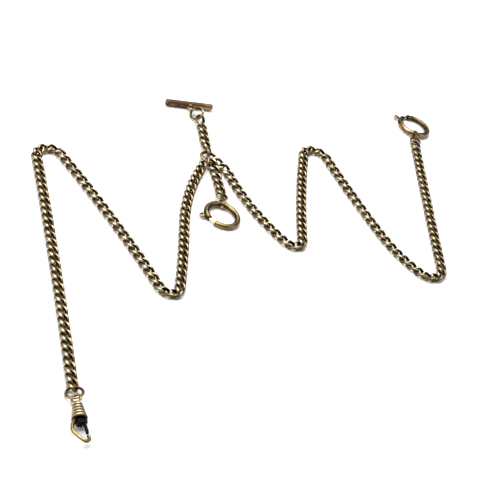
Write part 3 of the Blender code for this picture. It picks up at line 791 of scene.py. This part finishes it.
class WATCHCHAIN_OT_t_bar(bpy.types.Operator):
    """Makes the hammered T bar and its soldered eye"""

    bl_idname = "watchchain.t_bar"
    bl_label = "T bar"

    def execute(self, context):
        sizes = context.scene.watch_chain_fittings
        low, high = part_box("t_bar")
        middle = (low + high) / 2
        radius = (high.z - low.z) / 2
        half = (high.x - low.x) / 2
        shape = bmesh.new()
        layer = shape.verts.layers.float.new(TRACE)
        stations = 56
        around = 28
        rows = []
        for i in range(stations + 1):
            share = i / stations
            x = -half + 2 * half * share
            edge = min(share, 1 - share) * 2 * half
            size = 1 - 0.1 * max(0.0, 1 - edge / (0.35 * MM)) ** 2
            row = []
            for k in range(around):
                turn = 2 * math.pi * k / around
                out = Vector((0, math.cos(turn), math.sin(turn)))
                dent = noise.noise(Vector((x / (2.2 * MM), 1.3 * out.y + 4, 1.3 * out.z)))
                ripple = noise.noise(Vector((x / (0.8 * MM), 2.5 * out.y, 2.5 * out.z + 9)))
                reach = radius * size * (0.965 + 0.035 * dent + 0.012 * ripple)
                vertex = shape.verts.new(middle + Vector((x, 0, 0)) + out * reach)
                # Level lighter on top and darker underneath and in the dents: painted highlight and
                # painted shade.
                vertex[layer] = 0.55 + 0.4 * out.z + 0.5 * dent
                row.append(vertex)
            rows.append(row)
        for a, b in zip(rows, rows[1:]):
            for k in range(around):
                m = (k + 1) % around
                shape.faces.new((a[k], b[k], b[m], a[m]))
        shape.faces.new(rows[0])
        shape.faces.new(rows[-1][::-1])
        piece("t_bar_rod", shape, bar_finish(), "t_bar", ["t_bar"], 50)

        shape = bmesh.new()
        low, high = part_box("t_bar_eye")
        place = Matrix.Translation((low + high) / 2) @ Matrix.Rotation(sizes.eye_tilt, 4, "X")
        profile = circle(sizes.eye_wire / 2, 14)
        loop = arc(sizes.eye_radius, 0, 354, 60)
        sweep(shape, loop, profile, UP, closed=True, wear_and_light=bend_wear, place=place)
        foot = sizes.eye_radius + sizes.eye_wire / 2
        solder = rod_profile(0.75 * MM, foot - 0.45 * MM, foot + 0.5 * MM, 0.25 * MM)
        stand = place @ Matrix.Rotation(math.radians(-90), 4, "X")
        lathe(shape, solder, 24, stand)
        piece("t_bar_loop", shape, chain_finish(), "t_bar", ["t_bar_eye"])
        return {"FINISHED"}


# Bolt rings, with their angles in degrees about the ring's centre

MOUTH_FROM_TAIL = 140.0
MOUTH_ANGLE = 26.0
LIP = -MOUTH_FROM_TAIL + MOUTH_ANGLE / 2
RECEIVER = -MOUTH_FROM_TAIL - MOUTH_ANGLE / 2
BOLT_SEAT_ANGLE = 4.0
BOLT_LENGTH_ANGLE = 40.0
BORE_END_ANGLE = 106.0
THUMB = LIP + 16.0
BOLT_TRAVEL = 32.0


def bolt_ring_frame(name):
    """Place of a bolt ring: X from its centre to its tail, Z along the bolt's axis."""
    centre = Vector(JOINTS[name + "_bolt"]["pos_m"])
    tail = Vector(JOINTS[name]["pos_m"])
    return axes(centre, tail - centre, Vector(JOINTS[name + "_bolt"]["axis"]))


def strap_line(inside, nose, distance):
    """Line round two circles: the tube's and the eye's further out along X."""
    meet = math.degrees(math.acos((inside - nose) / distance))
    near = arc(inside, meet, 360 - meet, 30)
    far = [point + Vector((distance, 0, 0)) for point in arc(nose, -meet, meet, 18)]
    return near + far


def bolt_ring(name, sizes):
    """Bored tube with its slot, the tail strap, the sprung bolt and its ear."""
    place = bolt_ring_frame(name)
    metal = ring_finish()
    radius = sizes.ring_radius

    shape = bmesh.new()
    sweep(shape, arc(radius, LIP, RECEIVER + 360, 96), circle(sizes.tube, 20), UP, wear_and_light=ring_wear)
    case = mesh_object(name + "_tube", shape)
    bore = bmesh.new()
    end = RECEIVER - BOLT_SEAT_ANGLE - 3 + BORE_END_ANGLE + MOUTH_ANGLE
    start = RECEIVER - BOLT_SEAT_ANGLE - 3
    sweep(bore, arc(radius, start, end, 60), circle(sizes.bore, 16), UP, wear_and_light=no_wear)
    cut(case, bore)
    slot = bmesh.new()
    outside = radius + 2 * sizes.tube
    inner = radius + sizes.bolt / 2
    middle = (outside + inner) / 2
    half, tall = (outside - inner) / 2, 0.5 * MM
    block = [(half, -tall), (half, tall), (-half, tall), (-half, -tall)]
    sweep(slot, arc(middle, THUMB - 5, THUMB + BOLT_TRAVEL + 5, 24), block, UP, wear_and_light=no_wear)
    cut(case, slot)
    case.data.transform(place)
    settle(case, metal, name, [name + "_case"], 40)

    shape = bmesh.new()
    inside = sizes.tube + 0.1 * MM + sizes.strap / 2
    line = strap_line(inside, sizes.strap_nose, sizes.strap_reach)
    half, wide, soft = sizes.strap / 2, sizes.strap_width / 2, 0.12 * MM
    flat = [
        (half, -wide + soft), (half, wide - soft), (half - soft, wide), (soft - half, wide),
        (-half, wide - soft), (-half, soft - wide), (soft - half, -wide), (half - soft, -wide),
    ]
    strap = place @ Matrix.Translation((radius, 0, 0)) @ Matrix.Rotation(math.radians(90), 4, "X")
    sweep(shape, line, flat, UP, closed=True, wear_and_light=bend_wear, place=strap)
    piece(name + "_strap", shape, metal, name, [name + "_tail"], 40)

    shape = bmesh.new()
    bolt_line = arc(radius, RECEIVER - BOLT_SEAT_ANGLE, LIP + BOLT_LENGTH_ANGLE, 40)
    round_rod = circle(sizes.bolt, 14)
    sweep(shape, bolt_line, round_rod, UP, rounded=sizes.bolt * 0.7, wear_and_light=bolt_wear, place=place)
    body = name + "_bolt"
    piece(name + "_rod", shape, metal, body, [name + "_bolt"])

    shape = bmesh.new()
    ear = place @ Matrix.Rotation(math.radians(THUMB), 4, "Z") @ Matrix.Translation((radius, 0, 0))
    root, tip, spread = sizes.bolt * 0.9, sizes.tube + 1.15 * MM, 0.8 * MM
    loop = [Vector((root, 0, 0)), Vector((sizes.tube, 0, 0)), Vector((tip - spread, -spread * 0.45, 0))]
    loop += [Vector((tip, 0, 0)) + p for p in arc(spread, -110, 120, 9)]
    ear_wire = circle(0.42 * MM, 12, 1.2)
    sweep(shape, smooth_line(loop, 4), ear_wire, UP, rounded=0.2 * MM, place=ear, wear_and_light=bend_wear)
    piece(name + "_ear", shape, metal, body, [name + "_thumb_tab"])


class WATCHCHAIN_OT_bolt_rings(bpy.types.Operator):
    """Makes the two sprung bolt rings"""

    bl_idname = "watchchain.bolt_rings"
    bl_label = "Bolt rings"

    def execute(self, context):
        for name in ("fob_ring", "watch_ring"):
            bolt_ring(name, context.scene.watch_chain_fittings)
        return {"FINISHED"}


# Snap hook

SWIVEL_EYE_ROLL = 35
GATE_LEAN = 6
RIBS = 5
STEPS_PER_RIB = 8
BLOCK_LENGTH = 1.9 * MM
BLOCK_WIDTH = 3.2 * MM
BLOCK_HEIGHT = 2.6 * MM
BLOCK_EDGE = 0.28 * MM
BLOCK_GAP = 0.3 * MM
SLEEVE_WALL = 0.4 * MM
RIB_HEIGHT = 0.3 * MM
STEM_HOLE = 0.75 * MM


def sleeve_outline(sizes):
    """Cone with five rounded ribs, hollow from below; heights run down from 0."""
    outside = [(STEM_HOLE, 0.0), (sizes.sleeve_top - 0.25 * MM, 0.0)]
    count = RIBS * STEPS_PER_RIB
    for i in range(count + 1):
        share = i / count
        cone = sizes.sleeve_top + (sizes.sleeve_end - sizes.sleeve_top) * share
        step = i % STEPS_PER_RIB
        rib = RIB_HEIGHT * (math.sin(math.pi * step / STEPS_PER_RIB) if step else 0.0) - 0.16 * MM
        outside.append((cone + rib, -0.15 * MM - (sizes.sleeve_length - 0.15 * MM) * share))
    mouth = (sizes.sleeve_end - SLEEVE_WALL - 0.15 * MM, -sizes.sleeve_length)
    inside = [mouth, (1.15 * MM, -0.8 * MM), (STEM_HOLE, -0.8 * MM)]
    return outside + inside


class WATCHCHAIN_OT_snap_hook(bpy.types.Operator):
    """Makes the swivel eye, the ribbed sleeve, the block, the hook and its gate"""

    bl_idname = "watchchain.snap_hook"
    bl_label = "Snap hook"

    def execute(self, context):
        sizes = context.scene.watch_chain_fittings
        swivel = JOINTS["hook_swivel"]
        place = axes(Vector(swivel["pos_m"]), Vector(swivel["axis"]), UP)
        top = sizes.hook_eye_radius + sizes.hook_eye_wire / 2 + 0.3 * MM
        rolled = Matrix.Rotation(math.radians(SWIVEL_EYE_ROLL), 4, "X")
        eye_place = place @ Matrix.Translation((-top, 0, 0)) @ rolled
        metal = ring_finish()
        upright = Matrix.Rotation(math.radians(90), 4, "Y")

        shape = bmesh.new()
        eye = arc(sizes.hook_eye_radius, 52, 396, 56)
        wire = circle(sizes.hook_eye_wire / 2, 14)
        sweep(shape, eye, wire, UP, rounded=0.1 * MM, wear_and_light=bend_wear, place=eye_place)
        stem = rod_profile(0.42 * MM, sizes.hook_eye_radius, top + 1.3 * MM, 0.05 * MM)
        lathe(shape, stem, 20, eye_place @ upright)
        head = rod_profile(0.85 * MM, top + 1.2 * MM, top + 1.8 * MM, 0.1 * MM)
        lathe(shape, head, 24, eye_place @ upright)
        piece("hook_swivel_eye", shape, metal, "hook_eye", ["hook_eye"])

        shape = bmesh.new()
        down = place @ Matrix.Rotation(math.radians(-90), 4, "Y")
        outline = sleeve_outline(sizes)

        def groove(k):
            """Patina and painted shade in the grooves, polish from rubbing and painted highlight on the
            ribs.
            """
            inner = k < 2 or k > len(outline) - 5
            step = (k - 2) % STEPS_PER_RIB
            return 0.5 if inner else 0.12 + 0.8 * math.sin(math.pi * step / STEPS_PER_RIB)

        lathe(shape, outline, 64, down, groove)
        tan = sleeve_finish()
        piece("hook_ribbed_sleeve", shape, tan, "hook_swivel", ["hook_sleeve"], 60)

        low, high = self.block(sizes, place)
        self.hook(sizes, place, high, metal)
        self.gate(place, low, high)
        return {"FINISHED"}

    def block(self, sizes, place):
        """Black block with rounded edges, a neck into the sleeve and a slot for the gate."""
        start = sizes.sleeve_length + BLOCK_GAP
        end = start + BLOCK_LENGTH
        shape = bmesh.new()
        bmesh.ops.create_cube(shape, size=1.0)
        size = Vector((end - start, BLOCK_WIDTH, BLOCK_HEIGHT))
        bmesh.ops.scale(shape, vec=size, verts=shape.verts)
        bmesh.ops.translate(shape, vec=((start + end) / 2, 0.6 * MM, 0), verts=shape.verts)
        bmesh.ops.bevel(
            shape, geom=list(shape.edges), offset=BLOCK_EDGE, segments=3, affect="EDGES", profile=0.5
        )
        made = mesh_object("hook_black_block", shape)
        slot = bmesh.new()
        bmesh.ops.create_cube(slot, size=1.0)
        bmesh.ops.scale(slot, vec=(2.9 * MM, 3.2 * MM, 1.6 * MM), verts=slot.verts)
        bmesh.ops.translate(slot, vec=((start + end) / 2 + 0.5 * MM, 1.45 * MM, 0), verts=slot.verts)
        cut(made, slot)
        neck = bmesh.new()
        rod = rod_profile(0.95 * MM, start - 2.2 * MM, start + 0.3 * MM, 0.1 * MM)
        lying = Matrix.Rotation(math.radians(90), 4, "Y")
        lathe(neck, rod, 28, Matrix.Translation((0, 0.4 * MM, 0)) @ lying)
        cut(made, neck, "UNION")
        made.data.transform(place)
        settle(made, black_finish(), "hook_swivel", ["hook_block"], 40)
        return start, end

    def hook(self, sizes, place, block_end, metal):
        """Wire from beside the block, straight, then across and up to its nose."""
        nose = block_end + 6.9 * MM
        bends = (
            (sizes.sleeve_length - 1.2 * MM, -1.4 * MM),
            (sizes.sleeve_length + 0.3 * MM, -1.8 * MM),
            (block_end - 0.2 * MM, -2.6 * MM),
            (block_end + 1.5 * MM, -3.0 * MM),
            (block_end + 2.8 * MM, -2.95 * MM),
            (block_end + 4.2 * MM, -2.1 * MM),
            (block_end + 5.8 * MM, -0.6 * MM),
            (nose, 0.8 * MM),
            (nose - 0.25 * MM, 1.8 * MM),
            (nose - 1.1 * MM, 2.35 * MM),
            (block_end + 4.5 * MM, 2.15 * MM),
        )
        line = smooth_line([Vector((x, y, 0)) for x, y in bends], 7)
        shape = bmesh.new()
        wire = circle(sizes.hook_wire / 2, 16)
        sweep(shape, line, wire, UP, rounded=0.35 * MM, wear_and_light=ring_wear, place=place)
        piece("hook_bent_wire", shape, metal, "hook_swivel", ["hook_wire"])

    def gate(self, place, block_start, block_end):
        """Sprung gate with a rounded tip that closes on the hook's nose."""
        hinge = Vector((block_start + 1.045 * MM, 1.5 * MM, 0))
        shape = bmesh.new()
        line = [Vector((x * MM, 0, 0)) for x in (-0.5, 0.0, 1.2, 2.4, 3.5, 4.3)]
        wide, tall, soft = 0.45 * MM, 0.55 * MM, 0.15 * MM
        bar = [
            (wide, -tall + soft), (wide, tall - soft), (wide - soft, tall), (soft - wide, tall),
            (-wide, tall - soft), (-wide, soft - tall), (soft - wide, -tall), (wide - soft, -tall),
        ]
        lean = Matrix.Translation(hinge) @ Matrix.Rotation(math.radians(GATE_LEAN), 4, "Z")
        sweep(shape, line, bar, UP, rounded=0.15 * MM, place=place @ lean)
        piece("hook_sprung_gate", shape, black_finish(), "hook_gate", ["hook_gate"], 40)


class WATCHCHAIN_OT_small_parts(bpy.types.Operator):
    """Gives the springs and the gate's pin their metal"""

    bl_idname = "watchchain.small_parts"
    bl_label = "Springs and pin"

    def execute(self, context):
        for name in ("fob_ring_spring", "watch_ring_spring", "gate_spring", "gate_pin"):
            mesh = frame["nodes"][name].data
            mesh.materials.clear()
            mesh.materials.append(steel_finish() if name != "gate_pin" else ring_finish())
        return {"FINISHED"}


# Stage

LENS = 135.4
CAMERA_TURN = 34.0
CAMERA_CLIMB = 35.5
CAMERA_ROLL = 26.12
# How far the camera stands to the left of the junction ring, in front of it and over the ground
CAMERA_LEFT = 0.3245
CAMERA_FRONT = 0.5367
CAMERA_HEIGHT = 0.417
SKY_COLOUR = (0.9, 0.93, 1.0, 1.0)
SKY_STRENGTH = 0.12
# Each light's name, place, width, height, watts and tint
LIGHTS = (
    ("overhead", (-0.15, 0.25, 0.9), 1.1, 0.7, 13, (1, 1, 1)),
    ("window", (-0.9, -0.1, 0.7), 0.4, 0.7, 7, (1.0, 0.98, 0.94)),
    ("fill", (0.8, -0.5, 0.6), 0.3, 0.6, 2, (1, 1, 1)),
)


def softbox(name, place, wide, tall, watts, tint):
    """Rectangular soft light that faces the middle of the ground."""
    light = bpy.data.lights.new(name, "AREA")
    light.shape = "RECTANGLE"
    light.size = wide
    light.size_y = tall
    light.energy = watts
    light.color = tint
    made = bpy.data.objects.new(name, light)
    bpy.context.scene.collection.objects.link(made)
    made.location = place
    made.rotation_euler = (-Vector(place)).to_track_quat("-Z", "Y").to_euler()


class WATCHCHAIN_OT_stage(bpy.types.Operator):
    """Sets the ground, the soft lights and the camera"""

    bl_idname = "watchchain.stage"
    bl_label = "Stage"

    def execute(self, context):
        scene = context.scene
        scene.view_settings.view_transform = "Standard"
        low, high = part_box("junction_ring")
        junction = (low + high) / 2
        shape = bmesh.new()
        bmesh.ops.create_grid(shape, x_segments=1, y_segments=1, size=1.5)
        mesh = bpy.data.meshes.new("floor")
        shape.to_mesh(mesh)
        shape.free()
        floor = bpy.data.objects.new("floor", mesh)
        scene.collection.objects.link(floor)
        white = bpy.data.materials.new("floor_white")
        white.use_nodes = True
        shader = white.node_tree.nodes["Principled BSDF"]
        shader.inputs["Base Color"].default_value = (*scene.watch_chain_colours.floor, 1.0)
        shader.inputs["Roughness"].default_value = 0.9
        mesh.materials.append(white)

        world = bpy.data.worlds.new("studio")
        world.use_nodes = True
        sky = world.node_tree.nodes["Background"]
        sky.inputs["Color"].default_value = SKY_COLOUR
        sky.inputs["Strength"].default_value = SKY_STRENGTH
        scene.world = world
        for light in LIGHTS:
            softbox(*light)
        self.camera(scene, junction)
        return {"FINISHED"}

    def camera(self, scene, junction):
        """Long lens from the front left, looking down, with the camera rolled."""
        turn, climb = math.radians(CAMERA_TURN), math.radians(CAMERA_CLIMB)
        level = math.cos(climb)
        forward = Vector((math.sin(turn) * level, math.cos(turn) * level, -math.sin(climb)))
        right = forward.cross(UP).normalized()
        above = right.cross(forward)
        facing = Matrix((right, above, -forward)).transposed().to_4x4()
        roll = Matrix.Rotation(math.radians(CAMERA_ROLL), 4, "Z")
        data = bpy.data.cameras.new("camera")
        data.lens = LENS
        data.sensor_width = 36.0
        data.clip_start = 0.01
        data.clip_end = 10.0
        camera = bpy.data.objects.new("camera", data)
        scene.collection.objects.link(camera)
        stand = Vector((junction.x - CAMERA_LEFT, junction.y - CAMERA_FRONT, CAMERA_HEIGHT))
        camera.matrix_world = Matrix.Translation(stand) @ (facing @ roll)
        scene.camera = camera


class WATCHCHAIN_PT_panel(bpy.types.Panel):
    """Sizes, colours and steps of the watch chain"""

    bl_idname = "WATCHCHAIN_PT_panel"
    bl_label = "Watch Chain"
    bl_space_type = "VIEW_3D"
    bl_region_type = "UI"
    bl_category = "Watch Chain"

    def draw(self, context):
        scene = context.scene
        for group in (scene.watch_chain_sizes, scene.watch_chain_fittings, scene.watch_chain_colours):
            column = self.layout.column(align=True)
            for name in group.__annotations__:
                column.prop(group, name)
        for step in STEPS:
            self.layout.operator(step.bl_idname)


STEPS = (
    WATCHCHAIN_OT_stage,
    WATCHCHAIN_OT_links,
    WATCHCHAIN_OT_rings,
    WATCHCHAIN_OT_t_bar,
    WATCHCHAIN_OT_bolt_rings,
    WATCHCHAIN_OT_snap_hook,
    WATCHCHAIN_OT_small_parts,
)
GROUPS = {
    "watch_chain_sizes": ChainSizes,
    "watch_chain_fittings": FittingSizes,
    "watch_chain_colours": ChainColours,
}


def register():
    for kind in (*GROUPS.values(), *STEPS, WATCHCHAIN_PT_panel):
        bpy.utils.register_class(kind)
    for name, kind in GROUPS.items():
        setattr(bpy.types.Scene, name, PointerProperty(type=kind))


def unregister():
    for name in GROUPS:
        delattr(bpy.types.Scene, name)
    for kind in (WATCHCHAIN_PT_panel, *reversed(STEPS), *GROUPS.values()):
        bpy.utils.unregister_class(kind)


def main():
    register()
    bpy.ops.watchchain.stage()
    bpy.ops.watchchain.links()
    bpy.ops.watchchain.rings()
    bpy.ops.watchchain.t_bar()
    bpy.ops.watchchain.bolt_rings()
    bpy.ops.watchchain.snap_hook()
    bpy.ops.watchchain.small_parts()


if __name__ == "__main__":
    main()
